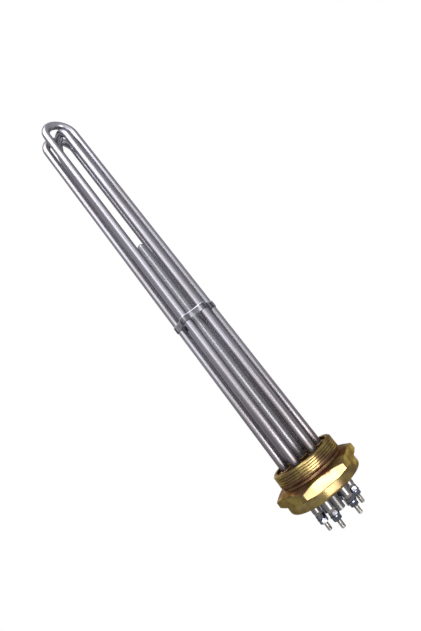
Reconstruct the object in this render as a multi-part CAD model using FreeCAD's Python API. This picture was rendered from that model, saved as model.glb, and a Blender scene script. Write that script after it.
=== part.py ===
"""Screw-plug water heater element: three bent heating tubes and a sensor pocket in a brass plug.

The origin is the centre of the plug's sealing face. +Z points along the tubes, away from the
terminals. All sizes are in millimetres.
"""

import math
import os

import FreeCAD
import Part

# Plug: threaded collar, hexagon and round lip
thread_radius = 30.0
collar_height = 14.0
rim_chamfer = 1.2
relief_height = 3.2
relief_depth = 1.1
recess_wall = 4.4
recess_depth = 2.0
across_flats = 70.0
corner_trim = 0.3
hexagon_thickness = 9.5
sealing_face_width = 3.4
front_chamfer_height = 3.6
back_chamfer_drop = 1.6
back_chamfer_height = 3.0
lip_radius = 35.3
lip_thickness = 7.9
lip_edge_radius = 2.0

# Heating tubes
leg_circle_radius = 17.5
first_leg_angle = 2.0
sheath_radius = 4.0
sheath_wall = 0.6
hairpin_a_length = 430.0
hairpin_b_length = 427.0
hairpin_c_length = 419.0
braze_gap = 0.15
stub_length = 10.2

# Inside each heating tube
packing_gap = 0.05
coil_radius = 1.5
coil_wall = 0.5
cold_length = 60.0
pin_radius = 1.25
weld_gap = 0.1

# Terminals
stud_radius = 2.0
stud_chamfer = 0.5
stud_free_length = 7.1
bush_spigot_length = 5.6
bush_flange_radius = 3.7
bush_flange_thickness = 2.1
bush_clearance = 0.1
nut_across_flats = 7.0
nut_thickness = 3.2
nut_corner_trim = 0.35
washer_radius = 4.3
washer_thickness = 0.8
thread_clearance = 0.1
stack_gap = 0.1
lower_nut_turns = (8.0, 40.0, 21.0, 52.0, 14.0, 33.0)
upper_nut_turns = (30.0, 12.0, 47.0, 5.0, 38.0, 22.0)

# Sensor pocket
pocket_radius = 4.0
pocket_wall = 0.75
pocket_length = 259.0
pocket_outer_length = 20.0

# Braze fillets round the tubes
fillet_width = 1.3
fillet_height = 1.1
fillet_clearance = 0.05

# Clip round the tubes
clip_position = 166.0
clip_width = 6.0
clip_thickness = 0.6
clip_clearance = 0.3
clip_dip = 1.5

# Worked out from the sizes above
recess_floor = collar_height - recess_depth
recess_radius = thread_radius - recess_wall
relief_radius = thread_radius - relief_depth
lip_start = -hexagon_thickness
back_face = lip_start - lip_thickness
stub_end = back_face - stub_length
sheath_bore = sheath_radius - sheath_wall
bush_inner_end = stub_end + bush_spigot_length
bush_outer_face = stub_end - stack_gap - bush_flange_thickness
lower_nut_top = bush_outer_face - stack_gap
washer_top = lower_nut_top - nut_thickness - stack_gap
upper_nut_top = washer_top - washer_thickness - stack_gap
stud_end = upper_nut_top - nut_thickness - stud_free_length
pin_inner_end = collar_height + cold_length
leg_count = 6
hexagon_sides = 6
corner_over_flat = 1 / math.cos(math.pi / hexagon_sides)
up = FreeCAD.Vector(0, 0, 1)


def point(x, y, z):
    """Return one place in space."""
    return FreeCAD.Vector(x, y, z)


def leg_place(number, z):
    """Return the centre of leg 1 to 6 at height z."""
    angle = math.radians(first_leg_angle + (number - 1) * 360.0 / leg_count)
    return point(leg_circle_radius * math.cos(angle), leg_circle_radius * math.sin(angle), z)


def rod(radius, low, high, centre=None):
    """Return a round bar along Z between two heights."""
    place = point(0, 0, low) if centre is None else point(centre.x, centre.y, low)
    return Part.makeCylinder(radius, high - low, place, up)


def turned(outline):
    """Return the solid turned round Z from an outline of (radius, height) corners."""
    corners = [point(radius, 0, height) for radius, height in outline]
    face = Part.Face(Part.makePolygon(corners + corners[:1]))
    return face.revolve(point(0, 0, 0), up, 360)


def hexagon_bar(flats, low, high, turn):
    """Return a hexagonal bar along Z, turned by an angle in degrees."""
    radius = flats / 2 * corner_over_flat
    corners = []
    for index in range(hexagon_sides):
        angle = math.radians(turn + index * 360.0 / hexagon_sides)
        corners.append(point(radius * math.cos(angle), radius * math.sin(angle), low))
    face = Part.Face(Part.makePolygon(corners + corners[:1]))
    return face.extrude(point(0, 0, high - low))


def hairpin_path(first_leg, second_leg, start, tip):
    """Return the centre line up one leg, round the bend and down the other leg."""
    half_span = leg_place(first_leg, 0).distanceToPoint(leg_place(second_leg, 0)) / 2
    bend_start = tip - sheath_radius - half_span
    middle = (leg_place(first_leg, 0) + leg_place(second_leg, 0)) * 0.5
    crown = point(middle.x, middle.y, bend_start + half_span)
    first_end = leg_place(first_leg, bend_start)
    second_end = leg_place(second_leg, bend_start)
    rise = Part.LineSegment(leg_place(first_leg, start), first_end).toShape()
    bend = Part.Arc(first_end, crown, second_end).toShape()
    fall = Part.LineSegment(second_end, leg_place(second_leg, start)).toShape()
    return Part.Wire([rise, bend, fall])


def bent_bar(path, first_leg, start, radius):
    """Return a round bar swept along a hairpin path."""
    ring = Part.Wire([Part.Circle(leg_place(first_leg, start), up, radius).toShape()])
    return path.makePipeShell([ring], True, False)


def bent_tube(legs, start, tip, outer_radius, inner_radius):
    """Return a hollow bar bent into a hairpin whose sheath reaches the height called tip."""
    path = hairpin_path(legs[0], legs[1], start, tip)
    outside = bent_bar(path, legs[0], start, outer_radius)
    inside = bent_bar(path, legs[0], start, inner_radius)
    return outside.cut(inside)


def plug_collar():
    """Return the collar with its thread at the major diameter, its relief and its recess."""
    return turned([
        (0, lip_start),
        (relief_radius, lip_start),
        (relief_radius, relief_height - relief_depth),
        (thread_radius, relief_height),
        (thread_radius, collar_height - rim_chamfer),
        (thread_radius - rim_chamfer, collar_height),
        (recess_radius, collar_height),
        (recess_radius, recess_floor),
        (0, recess_floor),
    ])


def plug_hexagon():
    """Return the hexagon with corners trimmed by the turned chamfers at its front and back."""
    crest = across_flats / 2 * corner_over_flat - corner_trim
    back_end = lip_start - back_chamfer_drop
    blank = hexagon_bar(across_flats, back_end, 0, 0)
    envelope = turned([
        (0, 0),
        (relief_radius + sealing_face_width, 0),
        (crest, -front_chamfer_height),
        (crest, back_end + back_chamfer_height),
        (lip_radius - back_chamfer_drop, back_end),
        (0, back_end),
    ])
    return blank.common(envelope)


def plug_lip():
    """Return the round lip behind the hexagon, with its rounded outer edge."""
    bend = lip_edge_radius
    slope = bend * (1 - math.cos(math.pi / 4))
    corners = [
        point(0, 0, lip_start),
        point(lip_radius, 0, lip_start),
        point(lip_radius, 0, back_face + bend),
        point(lip_radius - bend, 0, back_face),
        point(0, 0, back_face),
    ]
    edges = [
        Part.LineSegment(corners[0], corners[1]).toShape(),
        Part.LineSegment(corners[1], corners[2]).toShape(),
        Part.Arc(corners[2], point(lip_radius - slope, 0, back_face + slope), corners[3]).toShape(),
        Part.LineSegment(corners[3], corners[4]).toShape(),
        Part.LineSegment(corners[4], corners[0]).toShape(),
    ]
    return Part.Face(Part.Wire(edges)).revolve(point(0, 0, 0), up, 360)


def screw_plug():
    """Return the whole plug, with a hole for each leg and one for the sensor pocket."""
    body = plug_lip().fuse([plug_hexagon(), plug_collar()]).removeSplitter()
    holes = [
        rod(sheath_radius + braze_gap, back_face, recess_floor, leg_place(number, 0))
        for number in range(1, leg_count + 1)
    ]
    holes.append(rod(pocket_radius + braze_gap, back_face, recess_floor))
    return body.cut(holes)


def sensor_pocket():
    """Return the pocket tube, open behind the plug and closed by a round end among the legs."""
    open_end = back_face - pocket_outer_length
    dome_start = pocket_length - pocket_radius
    shells = []
    for radius in (pocket_radius, pocket_radius - pocket_wall):
        dome = Part.makeSphere(radius, point(0, 0, dome_start))
        shells.append(rod(radius, open_end, dome_start).fuse(dome).removeSplitter())
    return shells[0].cut(shells[1])


def braze_fillets():
    """Return the braze rings at the foot of each tube, on the floor of the recess."""
    floor = recess_floor + fillet_clearance
    rings = []
    tubes = [(leg_place(number, 0), sheath_radius) for number in range(1, leg_count + 1)]
    tubes.append((point(0, 0, 0), pocket_radius))
    for centre, tube_radius in tubes:
        inner = tube_radius + fillet_clearance
        ring = turned([(inner, floor), (inner + fillet_width, floor), (inner, floor + fillet_height)])
        ring.translate(centre)
        rings.append(ring)
    return Part.makeCompound(rings)


def terminal_pin(number):
    """Return a terminal pin: a thin rod inside the tube and a stud outside it."""
    shoulder = bush_outer_face - stack_gap
    pin = turned([
        (0, pin_inner_end),
        (pin_radius, pin_inner_end),
        (pin_radius, shoulder),
        (stud_radius, shoulder),
        (stud_radius, stud_end + stud_chamfer),
        (stud_radius - stud_chamfer, stud_end),
        (0, stud_end),
    ])
    pin.translate(leg_place(number, 0))
    return pin


def end_bush(number):
    """Return the insulating bush: a spigot in the sheath's end and a flange on its rim."""
    bore = pin_radius + bush_clearance
    flange_top = stub_end - stack_gap
    bush = turned([
        (bore, bush_inner_end),
        (sheath_bore - bush_clearance, bush_inner_end),
        (sheath_bore - bush_clearance, flange_top),
        (bush_flange_radius, flange_top),
        (bush_flange_radius, bush_outer_face),
        (bore, bush_outer_face),
    ])
    bush.translate(leg_place(number, 0))
    return bush


def hexagon_nut(number, top, turn):
    """Return a terminal nut with its corners trimmed at both faces."""
    face_radius = nut_across_flats / 2
    corner = face_radius * corner_over_flat
    bottom = top - nut_thickness
    bore = stud_radius + thread_clearance
    envelope = turned([
        (bore, top),
        (face_radius, top),
        (corner, top - nut_corner_trim),
        (corner, bottom + nut_corner_trim),
        (face_radius, bottom),
        (bore, bottom),
    ])
    nut = hexagon_bar(nut_across_flats, bottom, top, turn).common(envelope)
    nut.translate(leg_place(number, 0))
    return nut


def washer(number):
    """Return the plain washer between the two nuts of a terminal."""
    centre = leg_place(number, 0)
    bottom = washer_top - washer_thickness
    disc = rod(washer_radius, bottom, washer_top, centre)
    return disc.cut(rod(stud_radius + thread_clearance, bottom, washer_top, centre))


def clip_outline(offset, z):
    """Return the closed line of the clip, this far outside its inner face.

    The line runs round the outer side of each leg and dips inwards between legs.
    """
    hold_radius = sheath_radius + clip_clearance
    half_turn = math.pi / leg_count
    flat_reach = leg_circle_radius * math.cos(half_turn) + hold_radius
    dip_reach = flat_reach - clip_dip
    ring = leg_circle_radius
    top = ring ** 2 + dip_reach ** 2 - 2 * ring * dip_reach * math.cos(half_turn) - hold_radius ** 2
    bottom = 2 * (hold_radius + ring * math.cos(half_turn) - dip_reach)
    dip_radius = top / bottom
    dip_centre = dip_reach + dip_radius
    edges = []
    for number in range(1, leg_count + 1):
        leg = leg_place(number, z)
        angle = math.atan2(leg.y, leg.x)
        centres = []
        for side in (-1, 1):
            turn = angle + side * half_turn
            centres.append(point(dip_centre * math.cos(turn), dip_centre * math.sin(turn), z))
        joins = []
        for centre in centres:
            towards = (centre - leg).normalize()
            joins.append(leg + towards * (hold_radius + offset))
        outward = point(math.cos(angle), math.sin(angle), 0)
        edges.append(Part.Arc(joins[0], leg + outward * (hold_radius + offset), joins[1]).toShape())
        next_leg = leg_place(number + 1, z)
        next_join = next_leg + (centres[1] - next_leg).normalize() * (hold_radius + offset)
        inward = point(-centres[1].x, -centres[1].y, 0).normalize()
        lowest = centres[1] + inward * (dip_radius - offset)
        edges.append(Part.Arc(joins[1], lowest, next_join).toShape())
    return Part.Wire(edges)


def tube_clip():
    """Return the thin band that holds the six legs together."""
    low = clip_position - clip_width / 2
    rise = point(0, 0, clip_width)
    outside = Part.Face(clip_outline(clip_thickness, low)).extrude(rise)
    inside = Part.Face(clip_outline(0, low)).extrude(rise)
    return outside.cut(inside)


def heater_parts():
    """Return every piece of the heater by name."""
    parts = {
        "screw_plug": screw_plug(),
        "sensor_pocket": sensor_pocket(),
        "braze_fillets": braze_fillets(),
        "tube_clip": tube_clip(),
    }
    hairpins = {
        "a": ((1, 5), hairpin_a_length),
        "b": ((2, 4), hairpin_b_length),
        "c": ((3, 6), hairpin_c_length),
    }
    fill_start = bush_inner_end + stack_gap
    coil_start = pin_inner_end + weld_gap
    fill_radius = sheath_bore - packing_gap
    fill_bore = coil_radius + packing_gap
    coil_bore = coil_radius - coil_wall
    for name, (legs, tip) in hairpins.items():
        parts["heating_tube_" + name] = bent_tube(legs, stub_end, tip, sheath_radius, sheath_bore)
        parts["mineral_fill_" + name] = bent_tube(legs, fill_start, tip, fill_radius, fill_bore)
        parts["heating_coil_" + name] = bent_tube(legs, coil_start, tip, coil_radius, coil_bore)
    for number in range(1, leg_count + 1):
        label = str(number)
        lower_turn = lower_nut_turns[number - 1]
        upper_turn = upper_nut_turns[number - 1]
        parts["terminal_pin_" + label] = terminal_pin(number)
        parts["end_bush_" + label] = end_bush(number)
        parts["lower_nut_" + label] = hexagon_nut(number, lower_nut_top, lower_turn)
        parts["washer_" + label] = washer(number)
        parts["upper_nut_" + label] = hexagon_nut(number, upper_nut_top, upper_turn)
    return parts


def write_parts():
    """Write one STEP file for each piece."""
    os.makedirs("parts", exist_ok=True)
    for name, shape in heater_parts().items():
        shape.exportStep("parts/" + name + ".step")
        print(name, "valid" if shape.isValid() else "NOT VALID", "solids", len(shape.Solids))


write_parts()
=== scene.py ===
"""Screw-plug water heater element, dressed and lit as a studio picture."""

import math

import bmesh
import bpy
from mathutils import Matrix, Quaternion, Vector, noise


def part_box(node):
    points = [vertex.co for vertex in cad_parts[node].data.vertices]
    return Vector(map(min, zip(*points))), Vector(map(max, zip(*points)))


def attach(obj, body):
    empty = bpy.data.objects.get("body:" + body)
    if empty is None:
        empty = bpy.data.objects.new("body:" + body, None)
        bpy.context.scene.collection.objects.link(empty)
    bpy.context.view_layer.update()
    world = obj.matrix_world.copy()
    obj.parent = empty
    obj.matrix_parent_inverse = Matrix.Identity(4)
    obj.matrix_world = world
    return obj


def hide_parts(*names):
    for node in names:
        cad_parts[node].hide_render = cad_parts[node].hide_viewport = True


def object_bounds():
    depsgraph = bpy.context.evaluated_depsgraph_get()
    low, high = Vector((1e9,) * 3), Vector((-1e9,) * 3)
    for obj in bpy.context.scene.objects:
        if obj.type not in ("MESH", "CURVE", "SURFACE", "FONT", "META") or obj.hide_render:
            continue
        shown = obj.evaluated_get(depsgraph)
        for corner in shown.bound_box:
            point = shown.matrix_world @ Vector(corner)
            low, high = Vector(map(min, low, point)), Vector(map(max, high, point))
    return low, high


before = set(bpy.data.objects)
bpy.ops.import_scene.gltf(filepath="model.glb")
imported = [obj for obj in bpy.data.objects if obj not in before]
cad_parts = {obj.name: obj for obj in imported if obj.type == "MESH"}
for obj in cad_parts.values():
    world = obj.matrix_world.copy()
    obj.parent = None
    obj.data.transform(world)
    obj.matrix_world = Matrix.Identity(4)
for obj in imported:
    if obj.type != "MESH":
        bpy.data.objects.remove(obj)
CAD_BOX = [list(corner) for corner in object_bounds()]

bl_info = {
    "name": "Water heater element",
    "version": (1, 0, 0),
    "blender": (4, 5, 0),
    "location": "View3D > Sidebar > Heater",
    "description": "Builds the finish of a screw-plug water heater element on its packed frame",
    "category": "Object",
}

MM = 0.001
FULL_TURN = 2 * math.pi
SIXTH_TURN = math.pi / 3

LEG_NUMBERS = (1, 2, 3, 4, 5, 6)
HAIRPIN_NAMES = ("a", "b", "c")
POCKET_CENTRE = (0.0, 0.0)

# Shares of the pitch that a thread's crest and groove take up.
COLLAR_CREST = (0.52, 0.08)
STUD_CREST = (0.2, 0.1)

# How many points go round each turned piece.
PLUG_COLUMNS = 480
BRAZE_COLUMNS = 72
STUD_COLUMNS = 40
HOLE_COLUMNS = 48

# How many rows go into one turn of each thread, the hexagon's height and a braze ring's bulge.
COLLAR_STEPS = 13
STUD_STEPS = 6
HEXAGON_STEPS = 56
BRAZE_STEPS = 6

# Edges that turn by more than this stay sharp.
SHARP_ANGLE = math.radians(50)

# What is left of each metal's reflection near its outline.
BRASS_TINT = (0.5, 0.46, 0.4)
DRAWN_TINT = (0.4, 0.4, 0.45)
PLATED_TINT = (0.5, 0.5, 0.55)

NOISE_ROUGHNESS = 0.55

# Each lamp's name, place, aim, width and height in metres, and power in watts.
LAMPS = (
    ("tall_softbox", (-0.34, -0.83, 0.68), (0.0, 0.0, 0.3), (0.7, 1.45), 10.5),
    ("right_strip", (0.37, -0.82, 0.68), (0.0, 0.0, 0.3), (0.28, 1.45), 3.2),
    ("top_softbox", (-0.1, -0.6, 1.35), (0.0, 0.0, 0.4), (1.0, 0.6), 15.0),
    ("low_softbox", (0.1, -0.6, -0.16), (0.0, 0.0, -0.005), (0.42, 0.28), 6.2),
    ("back_fill", (-0.2, 0.95, 0.5), (0.0, 0.0, 0.15), (0.9, 0.9), 5.0),
    ("side_fill", (0.62, 0.5, -0.03), (0.0, 0.0, 0.0), (0.5, 0.38), 0.75),
)


def length(label, text, value):
    """Return a length property that shows as millimetres in a metric scene."""
    return bpy.props.FloatProperty(
        name=label, description=text, default=value * MM, unit="LENGTH", precision=5
    )


def colour(label, text, value):
    """Return a colour property."""
    return bpy.props.FloatVectorProperty(
        name=label, description=text, default=value, size=3, subtype="COLOR", min=0, max=1
    )


def factor(label, text, value):
    """Return a property between nought and one."""
    return bpy.props.FloatProperty(
        name=label, description=text, default=value, min=0, max=1, subtype="FACTOR"
    )


class PlugSettings(bpy.types.PropertyGroup):
    """Sizes and colours of the brass plug."""

    thread_radius: length("Thread radius", "Outside radius of the collar's thread", 30.0)
    thread_pitch: length("Thread pitch", "Distance from one thread crest to the next", 2.0)
    thread_depth: length("Thread depth", "Height of a crest above the groove", 0.5)
    thread_start: length("Thread start", "Height where the thread begins above the neck", 2.0)
    relief_radius: length("Relief radius", "Radius of the plain neck below the thread", 28.9)
    rim_chamfer: length("Rim chamfer", "Chamfer on the collar's rim", 1.2)
    recess_radius: length("Recess radius", "Inside radius of the collar's recess", 25.6)
    recess_depth: length("Recess depth", "Depth of the recess below the rim", 2.0)
    across_flats: length("Across flats", "Width of the hexagon across its flats", 70.0)
    hexagon_thickness: length("Hexagon thickness", "Height of the hexagon's flats", 9.5)
    sealing_radius: length("Sealing radius", "Outer radius of the flat sealing face", 32.3)
    front_chamfer: length("Front chamfer", "Height of the chamfer towards the tubes", 3.6)
    back_radius: length("Back radius", "Reach of the hexagon's corners where they meet the lip", 37.1)
    back_chamfer: length("Back chamfer", "Height of the chamfer towards the lip", 1.4)
    lip_radius: length("Lip radius", "Radius of the round lip behind the hexagon", 35.3)
    lip_edge: length("Lip edge", "Rounding of the lip's outer edge", 2.0)
    lip_front_edge: length("Lip front edge", "Rounding of the lip beside the hexagon", 0.6)
    hole_clearance: length("Hole clearance", "Gap between a tube and its hole", 0.15)
    braze_width: length("Braze width", "Reach of the braze from the tube it holds", 1.3)
    brass: colour("Brass", "Colour of the clean brass", (0.206, 0.159, 0.058))
    dull_brass: colour("Dull brass", "Colour of the tarnished brass", (0.108, 0.074, 0.036))
    stain: colour("Heat stain", "Colour of the flux stain by the neck", (0.074, 0.03, 0.021))
    soot: colour("Recess colour", "Colour of the heated floor round the tubes", (0.07, 0.04, 0.018))
    braze: colour("Braze", "Colour of the braze where the flux has gone", (0.16, 0.075, 0.025))


class TubeSettings(bpy.types.PropertyGroup):
    """Colours and roughness of the tubes, the pocket, the clip and what the tubes hold."""

    steel: colour("Steel", "Colour of the drawn stainless tube", (0.235, 0.23, 0.26))
    dull_steel: colour("Dull steel", "Colour of the handled parts of the tube", (0.17, 0.155, 0.16))
    # Partly painted light: the pocket's colour is partly its own greyer steel, partly light painted in
    # where the legs keep the lamps off it.
    pocket_steel_and_light: colour("Pocket steel", "Colour of the sensor pocket", (0.33, 0.33, 0.36))
    # Painted shade: a darker copy of the tube's steel for the stubs below the plug.
    shaded_stub_steel: colour("Stub steel", "Colour of the tube below the plug", (0.125, 0.12, 0.12))
    # Colour for the darkening towards the plug, and for the flux stain with painted shade just above
    # it.
    tint_and_shade: colour("Heat tint", "Colour of the tube beside the plug", (0.066, 0.051, 0.044))
    clip_steel: colour("Clip steel", "Colour of the clip", (0.22, 0.22, 0.245))
    # Painted highlight: the lighter colour of a band along the clip's top edge.
    clip_edge_highlight: colour("Clip edge", "Colour of the bare sheared edge of the clip", (0.42, 0.42, 0.46))
    roughness: factor("Roughness", "Roughness of the drawn tube", 0.34)
    pocket_roughness: factor("Pocket roughness", "Roughness of the sensor pocket", 0.46)
    powder: colour("Powder", "Colour of the packed powder in the tubes", (0.8, 0.79, 0.76))
    dull_powder: colour("Dull powder", "Colour of the powder's darker patches", (0.68, 0.66, 0.62))
    coil_wire: colour("Coil wire", "Colour of the resistance coil", (0.3, 0.28, 0.27))


class TerminalSettings(bpy.types.PropertyGroup):
    """Sizes and colours of the terminals."""

    stud_radius: length("Stud radius", "Outside radius of the terminal thread", 2.0)
    stud_pitch: length("Stud pitch", "Distance between the stud's crests", 0.7)
    stud_depth: length("Stud thread depth", "Height of the stud's crests", 0.38)
    rod_radius: length("Rod radius", "Radius of the rod inside the tube", 1.25)
    stud_steel: colour("Stud steel", "Colour of the studs", (0.4, 0.385, 0.37))
    nut_steel: colour("Nut steel", "Colour of the nuts", (0.1, 0.1, 0.115))
    washer_steel: colour("Washer steel", "Colour of the washers", (0.12, 0.135, 0.185))
    bush: colour("Bush", "Colour of the insulating bush", (0.07, 0.064, 0.06))


class StageSettings(bpy.types.PropertyGroup):
    """The camera's place and the floor."""

    camera_place: bpy.props.FloatVectorProperty(
        name="Camera place", description="Where the camera stands",
        default=(-0.02221, -0.36311, 0.07356), subtype="TRANSLATION", unit="LENGTH",
    )
    camera_aim: bpy.props.FloatVectorProperty(
        name="Camera aim", description="The point at the picture's centre",
        default=(0.01248, -0.0012, 0.15835), subtype="TRANSLATION", unit="LENGTH",
    )
    camera_roll: bpy.props.FloatProperty(
        name="Camera roll", description="How far the camera leans to the right",
        default=math.radians(37.97), subtype="ANGLE",
    )
    lens: bpy.props.FloatProperty(
        name="Lens", description="Focal length on a 36 mm sensor", default=22.86, unit="CAMERA",
    )
    floor_drop: length("Floor drop", "How far the floor lies below the lowest stud", 200.0)
    floor_glow: factor("Floor glow", "Share of the floor's white that shadows leave alone", 0.8)
    shadow_reach: bpy.props.FloatProperty(
        name="Shadow reach", description="How far from the plug the floor still takes shadows",
        default=0.4, unit="LENGTH",
    )


def settings(name):
    """Return one of the scene's groups of settings."""
    return getattr(bpy.context.scene, name)


class Nodes:
    """A short way to write one material's nodes."""

    def __init__(self, name, metallic=0.0, roughness=0.5):
        self.material = bpy.data.materials.new(name)
        self.material.use_nodes = True
        self.tree = self.material.node_tree
        self.shader = self.tree.nodes["Principled BSDF"]
        self.shader.inputs["Metallic"].default_value = metallic
        self.shader.inputs["Roughness"].default_value = roughness

    def link(self, source, target):
        """Join an output to an input."""
        self.tree.links.new(source, target)

    def put(self, socket, value):
        """Give an input a plain value, or the output that feeds it."""
        if isinstance(value, bpy.types.NodeSocket):
            self.link(value, socket)
        else:
            socket.default_value = value

    def add(self, kind, **inputs):
        """Add a node and fill its inputs, whose names have _ for each space."""
        node = self.tree.nodes.new(kind)
        for label, value in inputs.items():
            self.put(node.inputs[label.replace("_", " ")], value)
        return node

    def spot(self):
        """Return the place on the object, in metres from the sealing face's centre."""
        return self.add("ShaderNodeTexCoord").outputs["Object"]

    def height(self):
        """Return the height above the sealing face, in metres."""
        return self.add("ShaderNodeSeparateXYZ", Vector=self.spot()).outputs["Z"]

    def radius(self):
        """Return the distance from the plug's axis, in metres."""
        flat = self.tree.nodes.new("ShaderNodeVectorMath")
        flat.operation = "MULTIPLY"
        flat.inputs[1].default_value = (1, 1, 0)
        self.link(self.spot(), flat.inputs[0])
        size = self.tree.nodes.new("ShaderNodeVectorMath")
        size.operation = "LENGTH"
        self.link(flat.outputs["Vector"], size.inputs[0])
        return size.outputs["Value"]

    def noise(self, scale, detail=4.0, distortion=0.0):
        """Return noise with this many waves per metre on each axis."""
        place = self.add("ShaderNodeMapping", Vector=self.spot(), Scale=scale).outputs["Vector"]
        node = self.add("ShaderNodeTexNoise", Vector=place, Scale=1.0, Detail=detail)
        node.inputs["Roughness"].default_value = NOISE_ROUGHNESS
        node.inputs["Distortion"].default_value = distortion
        return node.outputs["Fac"]

    def between(self, value, low, high, to_low=0.0, to_high=1.0):
        """Return value mapped smoothly from one range to another."""
        node = self.add("ShaderNodeMapRange", Value=value)
        node.interpolation_type = "SMOOTHSTEP"
        ends = {"From Min": low, "From Max": high, "To Min": to_low, "To Max": to_high}
        for label, number in ends.items():
            node.inputs[label].default_value = number
        return node.outputs["Result"]

    def join(self, operation, first, second):
        """Return two values joined by a Math node."""
        node = self.tree.nodes.new("ShaderNodeMath")
        node.operation = operation
        self.put(node.inputs[0], first)
        self.put(node.inputs[1], second)
        return node.outputs["Value"]

    def sum(self, first, second):
        """Return two values added."""
        return self.join("ADD", first, second)

    def times(self, first, second):
        """Return two values multiplied."""
        return self.join("MULTIPLY", first, second)

    def mix(self, share, first, second):
        """Return the first colour with a share of the second in it."""
        node = self.tree.nodes.new("ShaderNodeMix")
        node.data_type = "RGBA"
        self.put(node.inputs["Factor"], share)
        for label, value in (("A", first), ("B", second)):
            socket = [s for s in node.inputs if s.name == label and s.type == "RGBA"][0]
            self.put(socket, value if isinstance(value, bpy.types.NodeSocket) else (*value, 1.0))
        return [s for s in node.outputs if s.type == "RGBA"][0]

    def edge_tint(self, tint):
        """Keep the metal dark towards its outline."""
        self.shader.inputs["Specular Tint"].default_value = (*tint, 1.0)

    def bump(self, height, distance, strength):
        """Let a value from nought to one raise the surface by up to distance."""
        node = self.add("ShaderNodeBump", Strength=strength, Distance=distance, Height=height)
        self.link(node.outputs["Normal"], self.shader.inputs["Normal"])

    def finish(self, colour, roughness=None):
        """Set the shader's colour and roughness, and return the material."""
        self.put(self.shader.inputs["Base Color"], colour)
        if roughness is not None:
            self.put(self.shader.inputs["Roughness"], roughness)
        return self.material


def brass_material():
    """Machined brass: tarnish, specks, and flux stain round the neck and in the recess."""
    plug = settings("heater_plug")
    n = Nodes("stained_brass", metallic=1.0)
    n.edge_tint(BRASS_TINT)
    tarnish = n.between(n.noise((70, 70, 110), detail=5), 0.36, 0.66)
    metal = n.mix(tarnish, plug.brass, plug.dull_brass)
    speck = n.between(n.noise((420, 420, 420), detail=3), 0.6, 0.74)
    metal = n.mix(n.times(speck, 0.5), metal, plug.dull_brass)

    z = n.height()
    wander = n.sum(n.times(n.noise((60, 60, 40), detail=5), 12 * MM), -6 * MM)
    ragged_z = n.sum(z, wander)
    from_hexagon = n.between(ragged_z, -2.6 * MM, -0.6 * MM)
    to_thread = n.between(ragged_z, 7.2 * MM, 3.8 * MM)
    neck = n.times(from_hexagon, to_thread)
    patch = n.between(n.noise((55, 55, 25), detail=4, distortion=0.6), 0.34, 0.56)
    metal = n.mix(n.times(neck, n.between(patch, 0.0, 1.0, 0.6, 0.95)), metal, plug.stain)

    streak = n.between(n.noise((85, 85, 20), detail=5), 0.5, 0.66)
    on_thread = n.between(z, 0.0, 4 * MM)
    metal = n.mix(n.times(n.times(streak, on_thread), 0.5), metal, plug.stain)

    inside_rim = n.between(n.radius(), 29.2 * MM, 26.8 * MM)
    recess = n.times(inside_rim, n.between(z, 10.5 * MM, 11.2 * MM))
    metal = n.mix(recess, metal, plug.soot)

    rough = n.sum(n.times(tarnish, 0.1), 0.19)
    rough = n.sum(rough, n.times(n.sum(neck, recess), 0.2))
    n.bump(n.noise((260, 260, 260), detail=2), 0.05 * MM, 0.4)
    return n.finish(metal, rough)


def tube_material(name, clean, dull, roughness):
    """Drawn stainless tube: soft lengthwise streaks, handling marks, darker towards the plug, and a
    flux stain with painted shade just above it.
    """
    tube = settings("heater_tubes")
    n = Nodes(name, metallic=1.0)
    n.edge_tint(DRAWN_TINT)
    streak = n.between(n.noise((150, 150, 8), detail=3), 0.35, 0.7)
    handled = n.between(n.noise((70, 70, 18), detail=3), 0.4, 0.68)
    metal = n.mix(n.sum(n.times(streak, 0.3), n.times(handled, 0.35)), clean, dull)

    z = n.height()
    # Darker and browner over the lower part of the tube, growing towards the plug.
    darker_to_plug = n.between(z, 150 * MM, 30 * MM)
    metal = n.mix(n.times(darker_to_plug, 0.5), metal, tube.tint_and_shade)
    # Partly a real flux stain, partly painted shade: darker and browner a little above the plug, where
    # shade falls between the legs.
    wander = n.times(n.noise((120, 120, 60), detail=4), 24 * MM)
    near_plug = n.between(n.sum(z, wander), 42 * MM, 22 * MM)
    flux_stain_and_shade = n.times(near_plug, n.between(z, 6 * MM, 10.5 * MM))
    metal = n.mix(n.times(flux_stain_and_shade, 0.65), metal, tube.tint_and_shade)
    # Painted shade: the tube below the plug takes the darker stub colour.
    below_plug = n.between(z, -15.5 * MM, -17.5 * MM)
    metal = n.mix(below_plug, metal, tube.shaded_stub_steel)

    rough = n.sum(n.times(handled, 0.06), roughness - 0.03)
    rough = n.sum(rough, n.times(flux_stain_and_shade, 0.1))
    n.bump(n.noise((60, 60, 14), detail=1), 0.2 * MM, 0.25)
    return n.finish(metal, rough)


def clip_material(top):
    """Thin rolled strip, scuffed, with a painted highlight in a band along its top edge."""
    tube = settings("heater_tubes")
    n = Nodes("clip_strip", metallic=1.0)
    n.edge_tint(DRAWN_TINT)
    scuffed = tuple(part * 0.3 for part in tube.clip_steel)
    marks = n.between(n.noise((170, 170, 60), detail=3), 0.42, 0.58)
    metal = n.mix(marks, tube.clip_steel, scuffed)
    # Painted highlight: a lighter band just under the clip's top edge stands in for the lamp's glint
    # there.
    highlighted = n.between(n.height(), top - 0.8 * MM, top - 0.4 * MM)
    metal = n.mix(highlighted, metal, tube.clip_edge_highlight)
    n.bump(n.noise((90, 90, 260), detail=1), 0.2 * MM, 0.4)
    return n.finish(metal, n.sum(n.times(marks, 0.1), 0.3))


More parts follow.
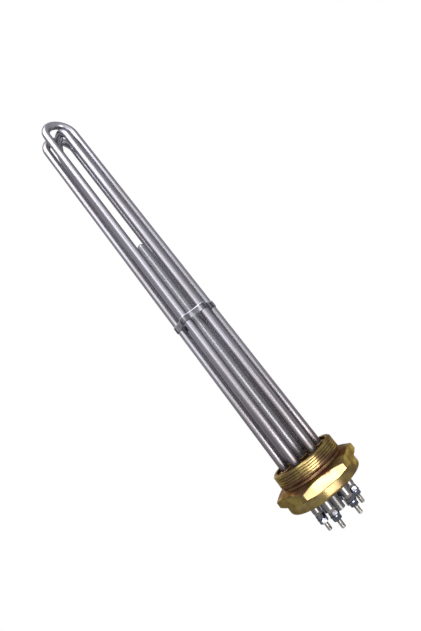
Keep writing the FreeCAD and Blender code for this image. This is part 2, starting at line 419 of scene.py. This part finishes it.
def steel_material(name, clean, roughness, waves=700):
    """Plated or rolled steel with small marks, this many waves of them to a metre."""
    n = Nodes(name, metallic=1.0)
    n.edge_tint(PLATED_TINT)
    marked = tuple(part * 0.55 for part in clean)
    marks = n.between(n.noise((waves, waves, waves), detail=4), 0.38, 0.7)
    metal = n.mix(marks, clean, marked)
    n.bump(n.noise((1200, 1200, 1200), detail=2), 0.01 * MM, 0.3)
    return n.finish(metal, n.sum(n.times(marks, 0.16), roughness - 0.05))


def ceramic_material(name, pale, dark):
    """Dull unglazed ceramic, dusty and slightly uneven."""
    n = Nodes(name, roughness=0.75)
    dust = n.between(n.noise((420, 420, 420), detail=5), 0.35, 0.68)
    n.bump(n.noise((2400, 2400, 2400), detail=4), 0.05 * MM, 0.6)
    return n.finish(n.mix(dust, pale, dark))


def braze_material():
    """Braze metal and burnt flux round the tubes."""
    plug = settings("heater_plug")
    n = Nodes("burnt_braze", metallic=0.5)
    bare = n.between(n.noise((300, 300, 300), detail=5), 0.42, 0.66)
    n.bump(n.noise((900, 900, 900), detail=3), 0.1 * MM, 0.5)
    return n.finish(n.mix(bare, plug.soot, plug.braze), n.sum(n.times(bare, -0.15), 0.55))


def dress(name, material):
    """Give a CAD node's own object one material."""
    materials = bpy.data.objects[name].data.materials
    materials.clear()
    materials.append(material)


def smooth(piece):
    """Shade a mesh smoothly, apart from its sharp edges."""
    work = bmesh.new()
    work.from_mesh(piece.data)
    for face in work.faces:
        face.smooth = True
    for edge in work.edges:
        edge.smooth = len(edge.link_faces) == 2 and edge.calc_face_angle(0) < SHARP_ANGLE
    work.to_mesh(piece.data)
    work.free()


def new_piece(name, work):
    """Turn finished mesh work into an object."""
    bmesh.ops.recalc_face_normals(work, faces=work.faces)
    mesh = bpy.data.meshes.new(name)
    work.to_mesh(mesh)
    work.free()
    piece = bpy.data.objects.new(name, mesh)
    bpy.context.collection.objects.link(piece)
    return piece


def turned_piece(name, rows, columns, centre=(0, 0)):
    """Make a closed piece from rows, each a function of angle giving a radius and a height."""
    work = bmesh.new()
    add_turned(work, rows, columns, centre, ring_shaped=False)
    return new_piece(name, work)


def add_turned(work, rows, columns, centre, ring_shaped):
    """Add a turned form, either closed by end faces or joined from its last row to its first."""
    rings = []
    for row in rows:
        ring = []
        for index in range(columns):
            angle = index * FULL_TURN / columns
            radius, height = row(angle)
            x = centre[0] + radius * math.cos(angle)
            y = centre[1] + radius * math.sin(angle)
            ring.append(work.verts.new((x, y, height)))
        rings.append(ring)
    pairs = list(zip(rings, rings[1:]))
    if ring_shaped:
        pairs.append((rings[-1], rings[0]))
    else:
        work.faces.new(list(reversed(rings[0])))
        work.faces.new(rings[-1])
    for low, high in pairs:
        for index in range(columns):
            after = (index + 1) % columns
            work.faces.new((low[index], low[after], high[after], high[index]))


def steady(radius, height):
    """Return a row that is the same at every angle."""
    return lambda angle: (radius, height)


def rounded_edge(radius, height, bend, start, end, count=6):
    """Return rows round an edge; the bend's centre is at this radius and height."""
    rows = []
    for index in range(count + 1):
        angle = start + (end - start) * index / count
        rows.append(steady(radius + bend * math.cos(angle), height + bend * math.sin(angle)))
    return rows


def crest(turns, top, bottom):
    """Return a thread's height, from nought to one, at a place counted in turns.

    Top and bottom are the shares of the pitch that the crest and the groove take up.
    """
    share = turns - math.floor(turns)
    slope = 1 - abs(2 * share - 1)
    rise = min(1.0, max(0.0, (slope - bottom) / (1 - top - bottom)))
    return rise * rise * (3 - 2 * rise)


def smaller(first, second, blend):
    """Return the smaller of two lengths, with the corner between them rounded."""
    gap = max(blend - abs(first - second), 0.0) / blend
    return min(first, second) - gap * gap * blend / 4


def leg_centre(number):
    """Return where a tube leg stands, read from its terminal pin."""
    low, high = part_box("terminal_pin_" + str(number))
    return ((low.x + high.x) / 2, (low.y + high.y) / 2)


def hole_centres():
    """Return where the six legs and the pocket pass through the plug."""
    return [leg_centre(number) for number in LEG_NUMBERS] + [POCKET_CENTRE]


def tube_radius():
    """Return the outside radius that the tubes and the pocket share."""
    low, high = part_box("sensor_pocket")
    return (high.x - low.x) / 2


def cut_holes(piece, centres, radius, low, high):
    """Cut round holes along Z through a piece."""
    cutter_mesh = bpy.data.meshes.new("hole_cutter")
    work = bmesh.new()
    for centre in centres:
        bmesh.ops.create_cone(
            work, cap_ends=True, segments=HOLE_COLUMNS, radius1=radius, radius2=radius,
            depth=high - low, matrix=Matrix.Translation((centre[0], centre[1], (low + high) / 2)),
        )
    work.to_mesh(cutter_mesh)
    work.free()
    cutter = bpy.data.objects.new("hole_cutter", cutter_mesh)
    bpy.context.collection.objects.link(cutter)
    cut = piece.modifiers.new("holes", "BOOLEAN")
    cut.operation = "DIFFERENCE"
    cut.solver = "EXACT"
    cut.object = cutter
    depsgraph = bpy.context.evaluated_depsgraph_get()
    result = bpy.data.meshes.new_from_object(piece.evaluated_get(depsgraph))
    piece.modifiers.clear()
    piece.data = result
    bpy.data.objects.remove(cutter)
    bpy.data.meshes.remove(cutter_mesh)


def thread_rows(plug, low, high):
    """Return the rows of the collar's thread, which rises out of the neck and ends at the rim."""
    step = plug.thread_pitch / COLLAR_STEPS
    groove = plug.thread_radius - plug.thread_depth
    run_in = plug.thread_pitch / 2
    blend = 0.2 * MM

    def row(height):
        grown = min(1.0, max(0.0, (height - low) / run_in))
        cone = plug.thread_radius - plug.rim_chamfer + (high - height)

        def place(angle):
            turns = height / plug.thread_pitch - angle / FULL_TURN
            radius = groove + (plug.thread_radius - groove) * crest(turns, *COLLAR_CREST)
            radius = plug.relief_radius + (radius - plug.relief_radius) * grown
            return smaller(radius, cone, blend), height
        return place

    return [row(low + index * step) for index in range(int((high - low) / step) + 1)]


def hexagon_rows(plug, low):
    """Return the rows of the hexagon with its two turned chamfers."""
    corner = plug.across_flats / 2 / math.cos(SIXTH_TURN / 2)
    corner_reach = corner - 0.3 * MM
    corner_blend, front_blend, back_blend = 0.4 * MM, 0.7 * MM, 0.5 * MM
    front_slope = (corner - plug.sealing_radius) / plug.front_chamfer
    back_slope = (corner - plug.back_radius) / plug.back_chamfer

    def row(height):
        front = plug.sealing_radius - height * front_slope
        back = plug.back_radius + (height - low) * back_slope

        def place(angle):
            from_corner = abs((angle + SIXTH_TURN / 2) % SIXTH_TURN - SIXTH_TURN / 2)
            flat = plug.across_flats / 2 / math.cos(SIXTH_TURN / 2 - from_corner)
            radius = smaller(flat, corner_reach, corner_blend)
            radius = smaller(radius, front, front_blend)
            return smaller(radius, back, back_blend), height
        return place

    return [row(low - low * index / HEXAGON_STEPS) for index in range(HEXAGON_STEPS + 1)]


class HEATER_OT_plug(bpy.types.Operator):
    """Make the brass plug with its real thread, in place of the plain solid"""

    bl_idname = "heater.plug"
    bl_label = "Plug"

    def execute(self, context):
        plug = settings("heater_plug")
        low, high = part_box("screw_plug")
        back, rim = low.z, high.z
        piece = turned_piece("plug_body", self.rows(plug, back, rim), PLUG_COLUMNS)
        past = 1 * MM
        hole_radius = tube_radius() + plug.hole_clearance
        cut_holes(piece, hole_centres(), hole_radius, back - past, rim + past)
        piece.data.materials.clear()
        piece.data.materials.append(brass_material())
        smooth(piece)
        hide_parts("screw_plug")
        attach(piece, "root")
        return {"FINISHED"}

    def rows(self, plug, back, rim):
        """Return the rows from the back face, over the outside, to the floor of the recess."""
        hub = 2 * MM
        crease = 0.25 * MM
        rim_edge = 0.4 * MM
        neck = plug.relief_radius
        lip_front = -plug.hexagon_thickness
        floor = rim - plug.recess_depth
        quarter = math.pi / 2

        edge, front_edge = plug.lip_edge, plug.lip_front_edge
        edge_centre = plug.lip_radius - edge
        rows = [steady(hub, back), steady(edge_centre - 4 * MM, back)]
        rows += rounded_edge(edge_centre, back + edge, edge, -quarter, 0)
        rows += rounded_edge(
            plug.lip_radius - front_edge, lip_front - front_edge, front_edge, 0, quarter, 4
        )
        rows += hexagon_rows(plug, lip_front)
        rows += [steady(neck + crease, 0.0), steady(neck, crease)]
        rows.append(steady(neck, plug.thread_start - crease))
        rows += thread_rows(plug, plug.thread_start, rim)
        inner = plug.recess_radius
        rows += rounded_edge(inner + rim_edge, rim - rim_edge, rim_edge, quarter, math.pi, 4)
        rows += [steady(inner, floor), steady(hub, floor)]
        return rows


class HEATER_OT_tubes(bpy.types.Operator):
    """Finish the three bent tubes and the sensor pocket"""

    bl_idname = "heater.tubes"
    bl_label = "Tubes"

    def execute(self, context):
        tube = settings("heater_tubes")
        sheath = tube_material("drawn_stainless", tube.steel, tube.dull_steel, tube.roughness)
        for name in HAIRPIN_NAMES:
            dress("heating_tube_" + name, sheath)
        # The pocket's lighter steel is partly painted light, standing in for the lamp light the legs
        # block.
        pocket = tube_material("pocket_stainless_and_light", tube.pocket_steel_and_light, tube.steel, tube.pocket_roughness)
        dress("sensor_pocket", pocket)
        return {"FINISHED"}


class HEATER_OT_clip(bpy.types.Operator):
    """Finish the thin clip round the tubes"""

    bl_idname = "heater.clip"
    bl_label = "Clip"

    def execute(self, context):
        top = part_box("tube_clip")[1].z
        dress("tube_clip", clip_material(top))
        return {"FINISHED"}


class HEATER_OT_braze(bpy.types.Operator):
    """Make the uneven braze rings round the tubes in the recess"""

    bl_idname = "heater.braze"
    bl_label = "Braze"

    def execute(self, context):
        plug = settings("heater_plug")
        low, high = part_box("braze_fillets")
        work = bmesh.new()
        for centre in hole_centres():
            rows = self.rows(plug, centre, low.z, high.z)
            add_turned(work, rows, BRAZE_COLUMNS, centre, ring_shaped=True)
        piece = new_piece("braze_rings", work)
        piece.data.materials.append(braze_material())
        smooth(piece)
        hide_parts("braze_fillets")
        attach(piece, "root")
        return {"FINISHED"}

    def rows(self, plug, centre, low, high):
        """Return the rows of one ring: flat below and against the tube, lumpy on top."""
        inner = tube_radius() + 0.05 * MM
        lumps_per_turn = 2.2
        ring_place = Vector((centre[0], centre[1], 0)) * 900

        def lump(angle, offset):
            spot = Vector((math.cos(angle), math.sin(angle), offset)) * lumps_per_turn
            return noise.noise(spot + ring_place)

        def bulge(share):
            def place(angle):
                reach = plug.braze_width * (0.8 + 0.25 * lump(angle, 0.0))
                rise = (high - low) * (0.8 + 0.2 * lump(angle, 4.0))
                turn = share * math.pi / 2
                return inner + reach * math.cos(turn), low + rise * math.sin(turn)
            return place

        top = [bulge(index / BRAZE_STEPS) for index in range(BRAZE_STEPS + 1)]
        return [steady(inner, low)] + top


class HEATER_OT_inside(bpy.types.Operator):
    """Finish the coils and fills inside the tubes"""

    bl_idname = "heater.inside"
    bl_label = "Inside parts"

    def execute(self, context):
        tube = settings("heater_tubes")
        powder = ceramic_material("packed_powder", tube.powder, tube.dull_powder)
        wire = steel_material("resistance_coil", tube.coil_wire, 0.45)
        for name in HAIRPIN_NAMES:
            dress("mineral_fill_" + name, powder)
            dress("heating_coil_" + name, wire)
        return {"FINISHED"}


class HEATER_OT_terminals(bpy.types.Operator):
    """Make the threaded studs and finish the nuts, washers and bushes"""

    bl_idname = "heater.terminals"
    bl_label = "Terminals"

    def execute(self, context):
        looks = settings("heater_terminals")
        stud_steel = steel_material("stud_thread", looks.stud_steel, 0.2)
        nut_steel = steel_material("nut_plating", looks.nut_steel, 0.15, waves=300)
        washer_steel = steel_material("washer_plating", looks.washer_steel, 0.15, waves=300)
        dark_bush = tuple(part * 0.6 for part in looks.bush)
        bush = ceramic_material("bush_ceramic", looks.bush, dark_bush)
        for number in LEG_NUMBERS:
            label = str(number)
            self.stud(number, looks, stud_steel)
            dress("end_bush_" + label, bush)
            dress("lower_nut_" + label, nut_steel)
            dress("upper_nut_" + label, nut_steel)
            dress("washer_" + label, washer_steel)
        return {"FINISHED"}

    def stud(self, number, looks, material):
        """Make one terminal pin with its thread cut in."""
        label = str(number)
        low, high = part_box("terminal_pin_" + label)
        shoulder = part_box("end_bush_" + label)[0].z - 0.1 * MM
        rows = self.rows(looks, low.z, shoulder, high.z)
        piece = turned_piece("threaded_stud_" + label, rows, STUD_COLUMNS, leg_centre(number))
        piece.data.materials.append(material)
        smooth(piece)
        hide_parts("terminal_pin_" + label)
        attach(piece, "root")

    def rows(self, looks, low, shoulder, high):
        """Return the rows from the stud's end, over its thread, to the plain rod in the tube."""
        hub = 0.6 * MM
        end_radius = looks.stud_radius - 0.6 * MM
        groove = looks.stud_radius - looks.stud_depth
        step = looks.stud_pitch / STUD_STEPS

        def thread(height):
            def place(angle):
                turns = height / looks.stud_pitch - angle / FULL_TURN
                radius = groove + looks.stud_depth * crest(turns, *STUD_CREST)
                return min(radius, end_radius + (height - low)), height
            return place

        rows = [steady(hub, low)]
        rows += [thread(low + index * step) for index in range(int((shoulder - low) / step) + 1)]
        rows += [steady(groove, shoulder), steady(looks.rod_radius, shoulder)]
        rows.append(steady(looks.rod_radius, high))
        return rows


def seen_as_white(tree):
    """Return one for the rays that see the background, and nought for those that light."""
    rays = tree.nodes.new("ShaderNodeLightPath").outputs
    seen = rays["Is Camera Ray"]
    for other in ("Is Glossy Ray", "Is Transmission Ray"):
        either = tree.nodes.new("ShaderNodeMath")
        either.operation = "MAXIMUM"
        tree.links.new(seen, either.inputs[0])
        tree.links.new(rays[other], either.inputs[1])
        seen = either.outputs["Value"]
    return seen


class HEATER_OT_stage(bpy.types.Operator):
    """Make the floor, the lamps, the pale world and the camera"""

    bl_idname = "heater.stage"
    bl_label = "Stage"

    def execute(self, context):
        stage = settings("heater_stage")
        self.floor(stage)
        self.world()
        for name, place, aim, size, power in LAMPS:
            self.lamp(name, place, aim, size, power)
        self.camera(stage)
        context.scene.view_settings.view_transform = "Standard"
        return {"FINISHED"}

    def floor(self, stage):
        """Make a wide pale floor well below the studs that keeps the shadow."""
        reach = 4.0
        base = CAD_BOX[0][2] - stage.floor_drop
        mesh = bpy.data.meshes.new("floor")
        corners = [(x * reach, y * reach, base) for x, y in ((-1, -1), (1, -1), (1, 1), (-1, 1))]
        mesh.from_pydata(corners, [], [(0, 1, 2, 3)])
        mesh.materials.append(self.floor_material(stage))
        floor = bpy.data.objects.new("floor", mesh)
        bpy.context.collection.objects.link(floor)

    def floor_material(self, stage):
        """Pale floor that looks white, and takes shadows only near the object."""
        n = Nodes("pale_floor", roughness=0.9)
        n.finish((0.9, 0.9, 0.9, 1.0))
        glow = n.add("ShaderNodeEmission", Color=(1, 1, 1, 1), Strength=1.0)
        near, far = stage.shadow_reach / 4, stage.shadow_reach
        away = n.between(n.radius(), near, far, stage.floor_glow, 1.0)
        blend = n.tree.nodes.new("ShaderNodeMixShader")
        n.link(n.times(seen_as_white(n.tree), away), blend.inputs["Fac"])
        n.link(n.shader.outputs["BSDF"], blend.inputs[1])
        n.link(glow.outputs["Emission"], blend.inputs[2])
        n.link(blend.outputs["Shader"], n.tree.nodes["Material Output"].inputs["Surface"])
        return n.material

    def world(self):
        """Make a world that looks white and lights the object softly."""
        world = bpy.data.worlds.new("pale_room")
        bpy.context.scene.world = world
        world.use_nodes = True
        tree = world.node_tree
        light = tree.nodes["Background"]
        light.inputs["Color"].default_value = (0.96, 0.97, 1.0, 1.0)
        light.inputs["Strength"].default_value = 0.7
        white = tree.nodes.new("ShaderNodeBackground")
        white.inputs["Color"].default_value = (1, 1, 1, 1)
        white.inputs["Strength"].default_value = 1.0
        blend = tree.nodes.new("ShaderNodeMixShader")
        tree.links.new(seen_as_white(tree), blend.inputs["Fac"])
        tree.links.new(light.outputs["Background"], blend.inputs[1])
        tree.links.new(white.outputs["Background"], blend.inputs[2])
        tree.links.new(blend.outputs["Shader"], tree.nodes["World Output"].inputs["Surface"])

    def lamp(self, name, place, aim, size, power):
        """Hang one soft lamp, out of the camera's sight."""
        data = bpy.data.lights.new(name, "AREA")
        data.shape = "RECTANGLE"
        data.size, data.size_y = size
        data.energy = power
        lamp = bpy.data.objects.new(name, data)
        bpy.context.collection.objects.link(lamp)
        lamp.visible_camera = False
        lamp.location = place
        lamp.rotation_mode = "QUATERNION"
        lamp.rotation_quaternion = (Vector(aim) - Vector(place)).to_track_quat("-Z", "Y")

    def camera(self, stage):
        """Stand the camera where the picture was taken from."""
        data = bpy.data.cameras.new("camera")
        data.sensor_width = 36.0
        data.lens = stage.lens
        data.clip_start = 0.01
        camera = bpy.data.objects.new("camera", data)
        bpy.context.collection.objects.link(camera)
        camera.location = stage.camera_place
        camera.rotation_mode = "QUATERNION"
        forward = Vector(stage.camera_aim) - Vector(stage.camera_place)
        lean = Quaternion((0, 0, 1), -stage.camera_roll)
        camera.rotation_quaternion = forward.to_track_quat("-Z", "Y") @ lean
        bpy.context.scene.camera = camera


class HEATER_PT_panel(bpy.types.Panel):
    """The heater's pieces and stage"""

    bl_label = "Water heater element"
    bl_idname = "HEATER_PT_panel"
    bl_space_type = "VIEW_3D"
    bl_region_type = "UI"
    bl_category = "Heater"

    def draw(self, context):
        for operator in OPERATORS:
            self.layout.operator(operator.bl_idname)


GROUPS = {
    "heater_plug": PlugSettings,
    "heater_tubes": TubeSettings,
    "heater_terminals": TerminalSettings,
    "heater_stage": StageSettings,
}
OPERATORS = (
    HEATER_OT_plug,
    HEATER_OT_tubes,
    HEATER_OT_clip,
    HEATER_OT_braze,
    HEATER_OT_inside,
    HEATER_OT_terminals,
    HEATER_OT_stage,
)


def register():
    """Register the settings, the operators and the panel."""
    for name, group in GROUPS.items():
        bpy.utils.register_class(group)
        setattr(bpy.types.Scene, name, bpy.props.PointerProperty(type=group))
    for operator in OPERATORS:
        bpy.utils.register_class(operator)
    bpy.utils.register_class(HEATER_PT_panel)


def unregister():
    """Take everything that register added away again."""
    bpy.utils.unregister_class(HEATER_PT_panel)
    for operator in reversed(OPERATORS):
        bpy.utils.unregister_class(operator)
    for name, group in GROUPS.items():
        delattr(bpy.types.Scene, name)
        bpy.utils.unregister_class(group)


def main():
    """Build the whole scene."""
    register()
    bpy.ops.heater.plug()
    bpy.ops.heater.tubes()
    bpy.ops.heater.clip()
    bpy.ops.heater.braze()
    bpy.ops.heater.inside()
    bpy.ops.heater.terminals()
    bpy.ops.heater.stage()
    bpy.context.view_layer.update()


if __name__ == "__main__":
    main()
